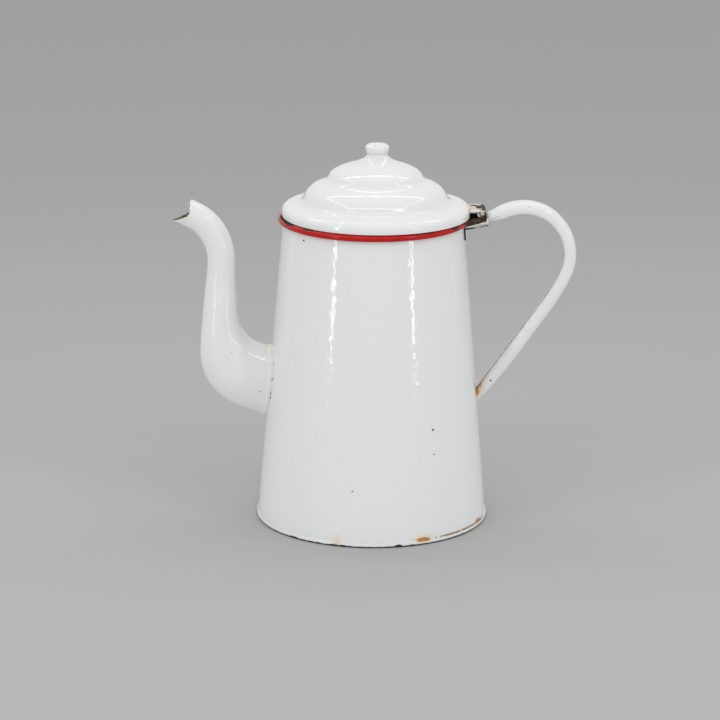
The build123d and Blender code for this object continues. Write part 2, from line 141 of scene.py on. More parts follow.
front_left, front_right = (Vector((x, front_y, frame_top)) for x in (-half_span, half_span))
back_left, back_right = (Vector((x, back_y, frame_top)) for x in (-half_span, half_span))
for name, corner in (("left post", front_left), ("right post", front_right)):
    bar(name, corner, Vector((corner.x, corner.y, post_foot)), post_glow)
bar("front bar", front_left, front_right, front_glow)
bar("back bar", back_left, back_right, back_glow)
bar("left bar", front_left, back_left, side_glow)
bar("right bar", front_right, back_right, side_glow)

world = bpy.data.worlds.new("studio")
bpy.context.scene.world = world
world.use_nodes = True
sky = world.node_tree.nodes["Background"]
sky.inputs["Color"].default_value = (0.985, 0.992, 1, 1)
sky.inputs["Strength"].default_value = 0.77

bpy.context.scene.view_settings.view_transform = "Standard"

# %% [markdown]
# Every finish on the pot is a coat over steel, and it is damaged in its own way: pits where
# the enamel bubbled, chips down to dark iron, and rust that bled out of them. So a small
# box of tools comes first. They all measure from the object's own coordinates, in
# millimetres, so a patch of rust stays where it was put when the lid is lifted.

# %% Tools for patterns
class Finish:
    """A material with helpers that add pattern nodes measured in millimetres."""

    def __init__(self, name, colour, roughness):
        self.look = look_for(name, colour, roughness)
        self.nodes = self.look.node_tree.nodes
        self.links = self.look.node_tree.links
        self.shader = self.nodes["Principled BSDF"]
        self.colour = None
        where = self.nodes.new("ShaderNodeTexCoord")
        self.place = self.vector("SCALE", where.outputs["Object"], scale=1 / MM)

    def vector(self, operation, first, second=None, scale=None):
        """One step of vector arithmetic; lengths and dot products come out as a number."""
        node = self.nodes.new("ShaderNodeVectorMath")
        node.operation = operation
        self.links.new(first, node.inputs[0])
        if second is not None:
            node.inputs[1].default_value = second
        if scale is not None:
            node.inputs["Scale"].default_value = scale
        return node.outputs["Value" if operation in ("LENGTH", "DOT_PRODUCT") else "Vector"]

    def math(self, operation, first, second=None, third=None):
        """One step of arithmetic on patterns and plain numbers."""
        node = self.nodes.new("ShaderNodeMath")
        node.operation = operation
        for socket, value in zip(node.inputs, (first, second, third)):
            if value is None:
                continue
            if isinstance(value, (int, float)):
                socket.default_value = value
            else:
                self.links.new(value, socket)
        return node.outputs[0]

    def both(self, first, second):
        """1 where both masks are 1."""
        return self.math("MULTIPLY", first, second)

    def either(self, masks):
        """1 where any of the masks is 1."""
        total = masks[0]
        for mask in masks[1:]:
            total = self.math("MAXIMUM", total, mask)
        return total

    def noise(self, size, detail=2.0, seed=0.0):
        """Soft noise whose lumps are about size millimetres across."""
        node = self.nodes.new("ShaderNodeTexNoise")
        shifted = self.vector("ADD", self.place, (seed, seed * 1.7, seed * 0.6))
        self.links.new(shifted, node.inputs["Vector"])
        node.inputs["Scale"].default_value = 1 / size
        node.inputs["Detail"].default_value = detail
        return node.outputs["Fac"]

    def fade(self, value, start, end):
        """0 up to start and 1 from end on; start may be the larger."""
        node = self.nodes.new("ShaderNodeMapRange")
        self.links.new(value, node.inputs["Value"])
        node.inputs["From Min"].default_value = start
        node.inputs["From Max"].default_value = end
        return node.outputs["Result"]

    def patch(self, centre, size, ragged=0.5, soft=0.25, grain=1.5):
        """1 inside a ragged oval patch with these half sizes, 0 outside."""
        offset = self.vector("SUBTRACT", self.place, centre)
        offset = self.vector("MULTIPLY", offset, tuple(1 / s for s in size))
        distance = self.vector("LENGTH", offset)
        wobble = self.math("MULTIPLY_ADD", self.noise(grain, 3, sum(centre)), 2 * ragged, -ragged)
        return self.fade(self.math("ADD", distance, wobble), 1 + soft / 2, 1 - soft / 2)

    def along(self, axis):
        """The place along X, Y or Z, in millimetres."""
        node = self.nodes.new("ShaderNodeSeparateXYZ")
        self.links.new(self.place, node.inputs[0])
        return node.outputs[axis]

    def height(self):
        """Height above the floor, in millimetres."""
        return self.along("Z")

    def marked(self, name):
        """The value that the mesh itself carries under a name."""
        node = self.nodes.new("ShaderNodeAttribute")
        node.attribute_name = name
        return node.outputs["Fac"]

    def pits(self, spacing, radius, share, seed=0.0):
        """Small round pits, one to a cell, in a share of the cells."""
        node = self.nodes.new("ShaderNodeTexVoronoi")
        self.links.new(self.vector("ADD", self.place, (seed, seed, seed)), node.inputs["Vector"])
        node.inputs["Scale"].default_value = 1 / spacing
        cell = self.nodes.new("ShaderNodeSeparateColor")
        self.links.new(node.outputs["Color"], cell.inputs[0])
        reach = self.math("MULTIPLY_ADD", cell.outputs["Green"], radius / spacing, radius / spacing / 3)
        dot = self.math("LESS_THAN", node.outputs["Distance"], reach)
        return self.both(dot, self.math("LESS_THAN", cell.outputs["Red"], share))

    def paint(self, mask, colour):
        """Lay a colour over what is there, where the mask is 1."""
        mix = self.nodes.new("ShaderNodeMix")
        mix.data_type = "RGBA"
        if self.colour is None:
            mix.inputs["A"].default_value = self.shader.inputs["Base Color"].default_value
        else:
            self.links.new(self.colour, mix.inputs["A"])
        mix.inputs["B"].default_value = (*colour, 1)
        self.links.new(mask, mix.inputs["Factor"])
        self.colour = mix.outputs["Result"]
        self.links.new(self.colour, self.shader.inputs["Base Color"])

    def roughen(self, mask, smooth, rough):
        """Smooth where the mask is 0 and rough where it is 1."""
        roughness = self.math("MULTIPLY_ADD", mask, rough - smooth, smooth)
        self.links.new(roughness, self.shader.inputs["Roughness"])

    def relief(self, layers):
        """Bumps one over the other: (height signal, height in millimetres)."""
        normal = None
        for signal, height in layers:
            bump = self.nodes.new("ShaderNodeBump")
            bump.inputs["Strength"].default_value = 1
            bump.inputs["Distance"].default_value = height * MM
            self.links.new(signal, bump.inputs["Height"])
            if normal is not None:
                self.links.new(normal, bump.inputs["Normal"])
            normal = bump.outputs["Normal"]
        self.links.new(normal, self.shader.inputs["Normal"])


# %% [markdown]
# The white enamel is glass fused to steel. Close up its surface isn't flat but like orange
# peel, and that is what breaks each lamp's streak into a column of sparks. Slow waves and
# two sizes of ripple do it, and some pieces have less of them. The colours of the iron and
# rust below are kept together here, because all the chips share them.

# %% White enamel
white = (0.74, 0.745, 0.75)
aged_white = (0.70, 0.695, 0.68)
yellowed = (0.70, 0.62, 0.42)
bare_iron = (0.020, 0.015, 0.012)
brown_iron = (0.055, 0.028, 0.017)
rust = (0.48, 0.225, 0.05)
rust_stain = (0.68, 0.50, 0.27)
ochre = (0.72, 0.53, 0.24)
# Near-black for the inside of the rolled edge: wear rubbed by the lid together with painted shade in the
# gap under the lid.
black_wear_and_shade = (0.012, 0.010, 0.009)


def white_enamel(name, chips=(), stains=(), rusts=(), pit_share=0.12, ripple=1.0):
    """White enamel with chips down to iron, rust and stains where they are given."""
    coat = Finish(name, white, 0.1)
    coat.paint(coat.math("MULTIPLY", coat.noise(38, 3, 4), 0.16), aged_white)
    for centre, size, strength, colour in stains:
        coat.paint(coat.math("MULTIPLY", coat.patch(centre, size, 0.5, 1.2, 4), strength), colour)
    pits = coat.pits(9, 0.42, pit_share, 3)
    masks = [pits]
    coat.paint(pits, brown_iron)
    for centre, size in rusts:
        mask = coat.patch(centre, size, 0.6, 0.35, 2)
        coat.paint(mask, rust)
        masks.append(mask)
    for centre, size in chips:
        mask = coat.patch(centre, size, 0.7, 0.15, 1.1)
        coat.paint(mask, bare_iron)
        masks.append(mask)
    worn = coat.either(masks)
    coat.roughen(worn, 0.09, 0.75)
    sunken = coat.math("MULTIPLY", worn, -1)
    coat.relief([
        (coat.noise(15, 1, 9), 0.2 * ripple),
        (coat.noise(4.6, 0.5, 5), 0.16 * ripple),
        (coat.noise(1.7, 1, 1), 0.03 * ripple),
        (sunken, 0.2),
    ])
    return coat


def seam_rust(coat):
    """Rust along the upper edge of the fold at the foot, on the handle's side."""
    band = coat.fade(coat.math("ABSOLUTE", coat.math("SUBTRACT", coat.height(), 3.3)), 0.75, 0.35)
    right_part = coat.fade(coat.along("X"), 36, 48)
    front_part = coat.fade(coat.along("Y"), -14, -24)
    streaky = coat.fade(coat.noise(3.0, 3, 12), 0.34, 0.5)
    broken_band = coat.both(band, streaky)
    line = coat.both(broken_band, coat.both(right_part, front_part))
    coat.paint(coat.math("MULTIPLY", line, 0.85), (0.30, 0.15, 0.055))
    coat.paint(coat.patch((73.0, -29.0, 3.9), (2.2, 4.5, 1.3), 0.5, 0.5, 2), rust)


# %% [markdown]
# Most pieces of the pot were turned, pressed or drawn round an axis. One helper draws a
# smooth curve through measured points, another spins it round the upright axis, and a
# third gives thin sheet its thickness. The last ones put the finished mesh in the scene,
# take the measured node's place, ride on its body and cut holes and notches.

# %% Making meshes
def flowing(points, gap=1.0):
    """A smooth curve through the points, as new points about gap apart."""
    given = np.array(points, float)
    run = np.concatenate([[0], np.cumsum(np.linalg.norm(np.diff(given[:, :2], axis=0), axis=1))])
    count = len(run)
    lhs, rhs = np.zeros((count, count)), np.zeros((count, given.shape[1]))
    lhs[0, 0] = lhs[-1, -1] = 1
    step = np.diff(run)
    for i in range(1, count - 1):
        lhs[i, i - 1:i + 2] = step[i - 1], 2 * (step[i - 1] + step[i]), step[i]
        rhs[i] = 6 * ((given[i + 1] - given[i]) / step[i] - (given[i] - given[i - 1]) / step[i - 1])
    bend = np.linalg.solve(lhs, rhs)
    made = []
    for t in np.linspace(0, run[-1], max(2, int(run[-1] / gap)) + 1):
        i = min(np.searchsorted(run, t, side="right") - 1, count - 2)
        a, b, h = run[i + 1] - t, t - run[i], step[i]
        curve = (bend[i] * a ** 3 + bend[i + 1] * b ** 3) / (6 * h)
        line = (given[i] / h - bend[i] * h / 6) * a + (given[i + 1] / h - bend[i + 1] * h / 6) * b
        made.append(curve + line)
    return [tuple(point) for point in made]


def spun(outline, closed=True, axis_x=0.0, steps=256):
    """Spin an outline of (radius, height) points round an upright axis."""
    mesh = bmesh.new()
    verts = [mesh.verts.new(((axis_x + r) * MM, 0, z * MM)) for r, z in outline]
    pairs = list(zip(verts, verts[1:])) + ([(verts[-1], verts[0])] if closed else [])
    edges = [mesh.edges.new(pair) for pair in pairs]
    bmesh.ops.spin(
        mesh, geom=verts + edges, cent=(axis_x * MM, 0, 0), axis=(0, 0, 1),
        angle=2 * math.pi, steps=steps, use_merge=True,
    )
    bmesh.ops.remove_doubles(mesh, verts=mesh.verts, dist=1e-6)
    bmesh.ops.recalc_face_normals(mesh, faces=mesh.faces)
    return mesh


def block(centre, size):
    """A box with this middle and these sizes, to cut a notch with."""
    mesh = bmesh.new()
    placing = Matrix.Translation([c * MM for c in centre]) @ Matrix.Diagonal([s * MM for s in size] + [1])
    bmesh.ops.create_cube(mesh, size=1, matrix=placing)
    return mesh


def faces_out(mesh, inside):
    """Turn an open skin so that its faces look away from a point inside it."""
    centre = Vector(inside) * MM
    away = sum(f.normal.dot(f.calc_center_median() - centre) * f.calc_area() for f in mesh.faces)
    if away < 0:
        bmesh.ops.reverse_faces(mesh, faces=mesh.faces)


def thicken(mesh, thickness):
    """Give an open skin a wall that grows inwards."""
    bmesh.ops.solidify(mesh, geom=mesh.faces, thickness=thickness * MM)
    bmesh.ops.recalc_face_normals(mesh, faces=mesh.faces)


# %% Placing pieces
def piece(name, mesh, body, stands_for, material_slot, finish, sharp=40):
    """Put a mesh in the scene as a named piece that rides on a body."""
    bmesh.ops.triangulate(mesh, faces=[f for f in mesh.faces if len(f.verts) > 4])
    data = bpy.data.meshes.new(name)
    for face in mesh.faces:
        face.smooth = True
    for edge in mesh.edges:
        edge.smooth = len(edge.link_faces) == 2 and edge.calc_face_angle(0) < math.radians(sharp)
    mesh.to_mesh(data)
    mesh.free()
    made = bpy.data.objects.new(name, data)
    bpy.context.scene.collection.objects.link(made)
    data.materials.append(finish.look)
    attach(made, body)
    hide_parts(*stands_for)
    print(name, len(data.polygons), "faces")
    return made


def cut_away(target, cutter_mesh):
    """Take a cutter's volume out of a piece and keep the result as its mesh."""
    cutter = bpy.data.objects.new("cutter", bpy.data.meshes.new("cutter"))
    bmesh.ops.recalc_face_normals(cutter_mesh, faces=cutter_mesh.faces)
    cutter_mesh.to_mesh(cutter.data)
    cutter_mesh.free()
    bpy.context.scene.collection.objects.link(cutter)
    cutting = target.modifiers.new("cut", "BOOLEAN")
    cutting.object = cutter
    cutting.solver = "EXACT"
    bpy.context.view_layer.update()
    cut_target = target.evaluated_get(bpy.context.evaluated_depsgraph_get())
    kept = bpy.data.meshes.new_from_object(cut_target)
    target.modifiers.clear()
    target.data = kept
    bpy.data.objects.remove(cutter)


# %% [markdown]
# The wall is a plain cone. Its outline has many short steps instead of one long one, so
# that the strainer holes, drilled behind the spout, disturb only the faces next to them.
# The row of chips near the spout follows the seam between the two.

# %% Wall
wall = 1.2
mouth_radius, mouth_height = 61.9, 208.0
shell_foot, shell_bottom, seam_z, shell_top = 79.1, 1.05, 3.2, 209.2
wall_steps = 36


def wall_radius(z):
    """Outside radius of the wall at a height, in millimetres."""
    return mouth_radius + (mouth_height - z) * (shell_foot - mouth_radius) / (mouth_height - seam_z)


heights = [seam_z + (shell_top - seam_z) * i / wall_steps for i in range(wall_steps + 1)]
outside = [(shell_foot, shell_bottom)] + [(wall_radius(z), z) for z in heights]
inside = [(r - wall, z) for r, z in reversed(outside)]
wall_mesh = spun(outside + inside)

wall_finish = white_enamel(
    "white enamel of the wall",
    chips=[
        ((-68.0, -18.2, 111.7), (0.8, 0.9, 1.3)), ((-68.1, -18.2, 109.2), (0.5, 0.6, 0.4)),
        ((-68.3, -18.2, 100.5), (0.55, 0.7, 0.75)), ((-68.7, -18.1, 92.9), (0.7, 0.8, 0.8)),
        ((-68.8, -18.0, 90.2), (0.7, 0.8, 0.6)), ((-69.6, -17.2, 87.3), (0.8, 0.9, 1.2)),
        ((41.2, -60.1, 77.8), (0.8, 0.8, 0.7)), ((-46.6, -41.2, 203.8), (0.8, 0.8, 0.6)),
        ((-12.9, -75.0, 38.6), (0.5, 0.5, 0.5)), ((41.9, -61.3, 60.9), (0.5, 0.5, 0.4)),
    ],
    stains=[
        ((35.4, -70.6, 4.6), (8, 6, 2.2), 0.4, ochre), ((-23.2, -75.6, 4.6), (2.6, 4, 2.8), 0.4, ochre),
        ((72.5, 0, 88), (4, 8, 6), 0.5, rust_stain), ((-67, 0, 122), (4, 12, 4), 0.3, yellowed),
    ],
    rusts=[((35.4, -70.4, 3.6), (5.2, 4, 1.3)), ((72.6, 0, 84), (2, 5, 3.4))],
)
seam_rust(wall_finish)
wall_piece = piece("wall", wall_mesh, "pot", ["body_shell"], "white_enamel", wall_finish)

# %% Strainer holes
# The field of holes is an oval behind the middle of the spout's flange
flange_centre = 95.6
field_half_width, field_half_height, field_x = 12, 19, -70.5
hole_pitch, hole_radius, drill_depth = 5.6, 1.5, 20
row_rise = math.sin(math.radians(60))
towards_spout = Matrix.Rotation(math.pi / 2, 4, "Y")
drill = bmesh.new()
for row in range(-3, 4):
    for column in range(-3, 4):
        across = (column + (row % 2) / 2) * hole_pitch
        up = row * hole_pitch * row_rise
        if math.hypot(across / field_half_width, up / field_half_height) > 1:
            continue
        centre = [c * MM for c in (field_x, across, flange_centre + up)]
        bmesh.ops.create_cone(
            drill, segments=20, radius1=hole_radius * MM, radius2=hole_radius * MM,
            depth=drill_depth * MM, cap_ends=True, matrix=Matrix.Translation(centre) @ towards_spout,
        )
cut_away(wall_piece, drill)
print("wall with holes", len(wall_piece.data.polygons), "faces")

# %% [markdown]
# The bottom is a disc whose edge is folded round the wall as a low foot. The fold stands a
# little proud of the wall, and its lower edge has lost its enamel all the way round: that is
# the thin dark line the pot stands on.

# %% Foot
foot_outline = [
    (0, 3.0), (74.5, 3.0), (76.2, 2.7), (76.6, 1.8), (76.8, 0.5), (77.3, 0.1), (78.0, 0.0), (79.4, 0.0),
    (79.8, 0.15), (79.99, 0.5), (79.99, 2.7), (79.8, 3.08), (79.45, 3.2), (79.15, 3.15), (79.12, 1.0),
    (77.8, 1.0), (77.5, 4.2), (0, 4.2),
]
foot_finish = white_enamel(
    "white enamel of the foot",
    chips=[
        ((18.6, -77.6, 1.0), (2.6, 2, 1.0)), ((-19.4, -77.4, 0.8), (2.2, 2, 0.7)),
        ((-26.5, -75.4, 0.8), (2, 2, 0.6)), ((-53, -59.9, 0.8), (4, 4, 0.7)),
        ((27, -75.4, 0.9), (1.0, 2, 0.5)), ((40, 69, 0.8), (5, 4, 1.1)), ((-70, 38, 0.6), (3, 5, 0.9)),
    ],
    stains=[
        ((-23.2, -76, 2), (3.0, 4, 2.2), 0.5, ochre), ((35, -72, 2.6), (7, 4, 1.4), 0.35, rust_stain),
    ],
    rusts=[
        ((35.4, -71.4, 3.1), (4.8, 4, 0.8)), ((60, 52, 2.5), (8, 8, 0.9)),
        ((-24, -76.2, 1.0), (2.5, 3, 0.6)),
    ],
)
seam_rust(foot_finish)
wavy_height = foot_finish.math("MULTIPLY_ADD", foot_finish.noise(2.6, 4, 6), -1.0, foot_finish.height())
foot_finish.paint(foot_finish.fade(wavy_height, 0.62, 0.45), bare_iron)
piece("foot", spun(foot_outline), "pot", ["base_pan"], "white_enamel", foot_finish)

# %% [markdown]
# The mouth is stiffened by rolling the sheet over an iron wire, and the roll is coated red.
# The red is thin, so it has flaked in streaks along the roll. Its inner side is painted
# black: partly worn by the lid rubbing on it, partly painted shade in the gap under the lid,
# and on the spout's side this painted shadow reaches up over the crest.

# %% Rolled edge
bead_radius, bead_z, bead_section, wire_section = 63.05, 210.3, 2.2, 1.0


def rim_circle(section, sides):
    """A circle round the middle of the roll, as (radius, height) points."""
    turns = np.linspace(0, 2 * math.pi, sides, endpoint=False)
    return [(bead_radius + section * math.cos(a), bead_z + section * math.sin(a)) for a in turns]


red = Finish("red enamel", (0.52, 0.007, 0.004), 0.16)
red.shader.inputs["Specular IOR Level"].default_value = 0.26
red.paint(red.math("MULTIPLY", red.noise(9, 3, 2), 0.6), (0.27, 0.003, 0.003))
from_axis = red.vector("LENGTH", red.vector("MULTIPLY", red.place, (1, 1, 0)))
# Painted shadow: on the spout's side the gap under the lid is painted black further out, up over the
# crest.
painted_gap_shadow = red.patch((-59, -22, 212), (10, 20, 5), 0.15, 0.5, 5)
gap_reach = red.math("MULTIPLY_ADD", painted_gap_shadow, -1.6, from_axis)
rubbed_and_shaded_inside = red.fade(red.math("MULTIPLY_ADD", red.noise(4, 3, 5), -1.2, gap_reach), 62.2, 61.9)
rim_chips = [
    ((-56.5, -27.0, 212.2), (6, 7, 0.75)), ((-42.5, -46.0, 212.35), (5, 5, 0.45)),
    ((-12, -62.8, 208.3), (1.2, 3, 0.5)), ((12.5, -63.5, 208.3), (1.6, 3, 0.45)),
    ((31, -54.0, 212.4), (6, 4, 0.5)), ((37, -50.5, 212.2), (3, 3, 0.7)),
    ((54.5, -33.5, 211.8), (4, 5, 1.3)), ((61.5, -17.5, 211.6), (3, 6, 1.4)),
    ((64.5, -4, 211.0), (2, 8, 1.6)), ((20, 62, 210), (5, 4, 1.5)), ((-50, 40, 211.5), (6, 7, 1.2)),
]
red_worn = red.either([red.patch(centre, size, 0.8, 0.2, 1.3) for centre, size in rim_chips])
red.paint(red_worn, brown_iron)
# The inside of the roll is painted near-black: rubbed wear and painted shade under the lid together.
red.paint(rubbed_and_shaded_inside, black_wear_and_shade)
red.roughen(red.either([red_worn, rubbed_and_shaded_inside]), 0.14, 0.7)
red.relief([
    (red.noise(6, 1, 9), 0.12),
    (red.noise(1.6, 1, 1), 0.03),
    (red.math("MULTIPLY", red_worn, -1), 0.15),
])
piece("rolled_edge", spun(rim_circle(bead_section, 32)), "pot", ["rim_bead"], "red_enamel", red)

# %% Wire in the rolled edge
wire_finish = Finish("iron wire", (0.10, 0.09, 0.085), 0.5)
wire_finish.paint(wire_finish.fade(wire_finish.noise(2.5, 3, 8), 0.45, 0.65), (0.055, 0.032, 0.022))
wire_finish.relief([(wire_finish.noise(1.1, 3, 2), 0.08)])
wire_mesh = spun(rim_circle(wire_section, 12), steps=96)
piece("edge_wire", wire_mesh, "pot", ["rim_wire"], "iron_wire", wire_finish)

# %% [markdown]
# The spout was pressed as two halves and welded. Each ring of this tube is an ellipse across
# the spout's line, and the rings are bridged one to the next. The first few rings lie on the
# wall itself: they are the flange, and the tube rises out of it in a soft hollow.

# %% Spout rings
# Each station: distance from the axis, height, rise in degrees, depth and width
spout_line = [
    (75.5, 96.1, 3.6, 48.8, 32.8), (86.6, 99.9, 11.9, 47.4, 32.3),
    (95.4, 105.7, 22.1, 47.0, 31.8), (101.2, 112.6, 30.2, 45.4, 31.0),
    (104.7, 120.7, 38.5, 41.8, 30.0), (105.8, 129.8, 46.2, 36.3, 28.6),
    (105.75, 139.0, 54.0, 31.0, 26.8), (105.2, 151.0, 64.0, 25.8, 23.9),
    (104.6, 164.5, 79.0, 21.1, 20.6), (103.95, 178.5, 89.0, 19.1, 19.1),
    (104.7, 187.0, 80.0, 19.0, 19.0), (108.9, 198.2, 64.0, 19.0, 19.0),
    (116.1, 207.15, 45.5, 18.9, 18.9), (126.9, 213.5, 29.5, 18.6, 18.6),
    (136.0, 217.3, 25.5, 18.2, 18.2),
]
# The tube's own rings begin where the line is clear of the wall and its flange
clear_distance, clear_height, ring_gap = 79, 110, 1.6
tube_stations = [
    s for s in flowing(spout_line, ring_gap) if s[0] > clear_distance or s[1] > clear_height
]
# Each ring of the flange: half its height, half its width, and how far it stands off the wall
flange_rings = [
    (24.9, 17.8, -0.4), (24.9, 17.8, 0.5), (24.95, 17.85, 1.2), (24.85, 17.7, 1.9), (24.65, 17.35, 2.4),
    (24.45, 16.85, 2.7), (24.3, 16.5, 2.9), (24.25, 16.35, 3.3),
]


def spout_skin(sides=80):
    """The outside of the whole spout as one open tube."""
    mesh = bmesh.new()
    loops = []
    for semi_z, semi_y, lift in flange_rings:
        upright = Matrix((
            (0, 0, -1, 0), (0, semi_y * MM, 0, 0),
            (semi_z * MM, 0, 0, flange_centre * MM), (0, 0, 0, 1),
        ))
        loop = bmesh.ops.create_circle(mesh, segments=sides, radius=1, matrix=upright)["verts"]
        for vert in loop:
            reach = wall_radius(vert.co.z / MM) + lift
            vert.co.x = -math.sqrt(reach ** 2 - (vert.co.y / MM) ** 2) * MM
        loops.append(loop)
    for distance, height, rise, depth, width in tube_stations:
        s, c = math.sin(math.radians(rise)), math.cos(math.radians(rise))
        across = Matrix((
            (s * depth / 2 * MM, 0, -c, -distance * MM), (0, width / 2 * MM, 0, 0),
            (c * depth / 2 * MM, 0, s, height * MM), (0, 0, 0, 1),
        ))
        loops.append(bmesh.ops.create_circle(mesh, segments=sides, radius=1, matrix=across)["verts"])
    for near, far in zip(loops, loops[1:]):
        rings = set(near), set(far)
        edges = {e for v in near + far for e in v.link_edges if len(e.link_faces) < 2}
        edges = [e for e in edges if any(ring.issuperset(e.verts) for ring in rings)]
        bmesh.ops.bridge_loops(mesh, edges=edges)
    bmesh.ops.recalc_face_normals(mesh, faces=mesh.faces)
    faces_out(mesh, (-100, 0, 120))
    return mesh


spout_mesh = spout_skin()
thicken(spout_mesh, wall)
print("spout sheet", len(spout_mesh.faces), "faces")

# %% [markdown]
# The mouth was cut to a lip and has chipped ever since, so its edge isn't a clean line. A
# ragged cutter, drawn from the side, takes the end off the tube. Dark iron is painted along
# that same line and on the inside of the tube behind it.

# %% Spout mouth
mouth_edge = [
    (-124.0, 223.6), (-125.3, 222.0), (-125.9, 221.0), (-125.2, 219.9), (-124.7, 218.6), (-125.0, 216.8),
    (-124.9, 215.0), (-125.3, 213.9), (-126.9, 213.3), (-128.6, 212.0), (-130.6, 211.2), (-132.4, 209.9),
    (-134.6, 209.3), (-136.5, 208.55), (-139.5, 207.6),
]
lean = 0.13
lip_half_width, lip_tip, lip_run = 8, -138, 12
cutter_half, cutter_end, cutter_low, cutter_high = 30, -170, 200, 250


def lip_side(x):
    """The lip's near edge, measured from the middle plane, at a place along it."""
    return -lip_half_width * min(max((x - lip_tip) / lip_run, 0), 1)


def cutter_edge(y):
    """The ragged edge at a distance from the middle: the far side was worn lower."""
    worn_edge = [(x, y, z - lean * (y - lip_side(x))) for x, z in mouth_edge]
    start_x = mouth_edge[0][0]
    return worn_edge + [
        (cutter_end, y, cutter_low), (cutter_end, y, cutter_high), (start_x, y, cutter_high),
    ]


mouth_cutter = bmesh.new()
for y in (-cutter_half, cutter_half):
    outline = [mouth_cutter.verts.new(Vector(point) * MM) for point in cutter_edge(y)]
    for pair in zip(outline, outline[1:] + outline[:1]):
        mouth_cutter.edges.new(pair)
bmesh.ops.bridge_loops(mouth_cutter, edges=mouth_cutter.edges[:])
bmesh.ops.holes_fill(mouth_cutter, edges=mouth_cutter.edges[:], sides=0)


def beside_line(finish, start, end, reach):
    """1 within a ragged reach of a straight edge drawn in the side view."""
    (x0, z0), (x1, z1) = start, end
    length = math.hypot(x1 - x0, z1 - z0)
    way_x, way_z = (x1 - x0) / length, (z1 - z0) / length
    flat = finish.vector("MULTIPLY", finish.vector("SUBTRACT", finish.place, (x0, 0, z0)), (1, 0, 1))
    run = finish.vector("DOT_PRODUCT", flat, (way_x, 0, way_z))
    off_line = finish.vector("DOT_PRODUCT", flat, (-way_z, 0, way_x))
    ragged = finish.noise(1.3, 3, 7)
    off_line = finish.math("MULTIPLY_ADD", ragged, -reach * 1.6, finish.math("ABSOLUTE", off_line))
    near = finish.fade(off_line, reach * 0.2, 0)
    return finish.both(near, finish.both(finish.fade(run, -1, 0), finish.fade(run, length + 1, length)))


# %% Spout finish
spout_finish = white_enamel(
    "white enamel of the spout",
    chips=[
        ((-68.6, -17.8, 111.7), (0.8, 0.9, 1.2)), ((-68.9, -17.8, 100.5), (0.4, 0.6, 0.6)),
        ((-69.5, -17.6, 90.3), (0.7, 0.8, 0.6)), ((-96.5, -15, 118.3), (0.4, 1.0, 0.4)),
        ((-77.2, -16.2, 91.2), (0.4, 1, 0.4)),
    ],
    stains=[
        ((-70.5, 0, 121), (5, 14, 5), 0.35, yellowed), ((-128, 0, 213), (6, 12, 4), 0.25, rust_stain),
    ],
    pit_share=0.16, ripple=0.4,
)
bare = spout_finish.marked("bare")
lower_lip = beside_line(spout_finish, (-126.5, 213.0), (-137.5, 208.6), 0.5)
upright_lip = beside_line(spout_finish, (-125.0, 221.0), (-125.2, 216.0), 0.28)
ragged_bare = spout_finish.math("MULTIPLY_ADD", spout_finish.noise(1.6, 3, 3), 0.7, bare)
lip_marks = [lower_lip, upright_lip, spout_finish.fade(ragged_bare, 0.80, 0.92)]
spout_finish.paint(spout_finish.either(lip_marks), brown_iron)
lip_rust = spout_finish.patch((-130.0, 0, 212.0), (1.6, 12, 1.0), 0.5, 0.3, 1.5)
spout_finish.paint(lip_rust, (0.30, 0.12, 0.03))


def mark_bare_mouth(made):
    """Give the inside of the mouth a value that falls from 1 at the edge to 0 deeper down."""
    axis_point, axis = Vector((-126.9, 0, 213.5)), Vector((-0.875, 0, 0.485)).normalized()
    bare_depth, bare_end = 9, -112
    values = []
    for face in made.data.polygons:
        centre = face.center / MM
        offset = centre - axis_point
        across = (offset - offset.dot(axis) * axis).normalized()
        depth = min(math.hypot(centre.x - x, centre.z - z) for x, z in mouth_edge)
        inner = face.normal.dot(across) < 0.3 and centre.x < bare_end
        values.append(max(0.0, 1 - depth / bare_depth) if inner else 0.0)
    layer = made.data.attributes.new("bare", "FLOAT", "FACE")
    layer.data.foreach_set("value", values)
    return sum(value > 0 for value in values)


# %% Spout halves
def spout_half(name, side, node):
    """One half of the tube: split in the middle plane, closed along the weld, cut at the mouth."""
    half = spout_mesh.copy()
    bmesh.ops.bisect_plane(
        half, geom=half.verts[:] + half.edges[:] + half.faces[:], dist=1e-7,
        plane_co=(0, 0, 0), plane_no=(0, side, 0), clear_inner=True,
    )
    bmesh.ops.holes_fill(half, edges=[e for e in half.edges if e.is_boundary], sides=0)
    made = piece(name, half, "pot", [node], "white_enamel", spout_finish)
    cut_away(made, mouth_cutter.copy())
    print(name, "bare faces", mark_bare_mouth(made))


spout_half("spout_left", -1, "spout_left_half")
spout_half("spout_right", 1, "spout_right_half")

# %% [markdown]
# The handle is a pressed strap: a rounded crown outside, and edges folded in on the side
# where the fingers go. Its open section is swept along the handle's line by extruding it
# again and again, narrowing towards both ends. The sheet then gets its thickness, and the
# lower end is cut off where it meets the wall.

# %% Handle line
def arc_steps(x, z, heading, radius, sweep, gap=2.0):
    """Points and headings along an arc that turns clockwise in the side view."""
    count = max(2, round(math.radians(sweep) * radius / gap))
    start = math.radians(heading)
    made = []
    for i in range(1, count + 1):
        turned = start - math.radians(sweep) * i / count
        made.append((
            x + radius * (math.sin(start) - math.sin(turned)),
            z - radius * (math.cos(start) - math.cos(turned)),
            math.degrees(turned),
        ))
    return made


